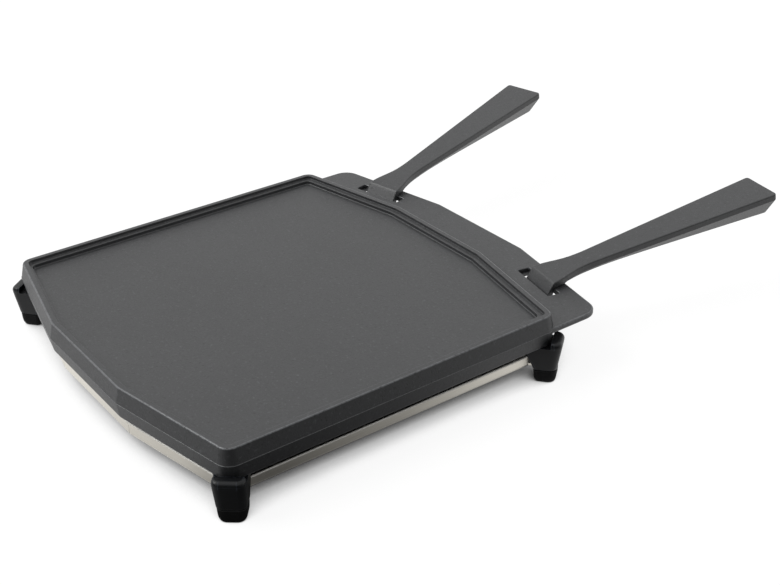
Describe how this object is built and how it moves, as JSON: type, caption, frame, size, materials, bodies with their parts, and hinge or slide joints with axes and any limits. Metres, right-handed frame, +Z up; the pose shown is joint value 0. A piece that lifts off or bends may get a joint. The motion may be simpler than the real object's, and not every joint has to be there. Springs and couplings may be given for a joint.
{
  "type": "camp griddle plate",
  "caption": "Flat cast-iron griddle plate with a raised rim and a slotted rear flange, hook-in cast handles, and a bent sheet trivet on moulded corner feet with rubber pads.",
  "frame": {"origin": "middle of the whole set's box, on the surface that the rubber pads stand on", "axes": "+Z up, +Y from the plate towards the handle ends, +X to the right when seen from the front"},
  "size_m": [0.3198, 0.5012, 0.0751],
  "materials": {
    "cast_iron": "sand-cast, seasoned, satin dark grey",
    "stainless_sheet": "brushed stainless sheet with bright cut edges",
    "black_nylon": "moulded black, slightly glossy",
    "black_rubber": "matte black rubber",
    "zinc_steel": "zinc plated"
  },
  "bodies": {
    "trivet": {"trivet_tray": "stainless_sheet", "foot_front_left": "black_nylon", "foot_front_right": "black_nylon", "foot_rear_left": "black_nylon", "foot_rear_right": "black_nylon", "pad_front_left": "black_rubber", "pad_front_right": "black_rubber", "pad_rear_left": "black_rubber", "pad_rear_right": "black_rubber", "screw_front_left": "zinc_steel", "screw_front_right": "zinc_steel", "screw_rear_left": "zinc_steel", "screw_rear_right": "zinc_steel"},
    "plate": {"griddle_plate": "cast_iron"},
    "left_handle": {"handle_left": "cast_iron"},
    "right_handle": {"handle_right": "cast_iron"}
  },
  "joints": [
    {"name": "plate_lift", "type": "slide", "parent": "trivet", "child": "plate", "axis": [0, 0, 1], "range_m": [0, 0.06]},
    {"name": "left_handle_tilt", "type": "hinge", "parent": "plate", "child": "left_handle", "pos_m": [-0.0965, 0.05748, 0.03821], "axis": [0.9799, 0.1994, 0], "range_deg": [0, 25]},
    {"name": "right_handle_tilt", "type": "hinge", "parent": "plate", "child": "right_handle", "pos_m": [0.0965, 0.05748, 0.03821], "axis": [0.9799, -0.1994, 0], "range_deg": [0, 25]}
  ]
}
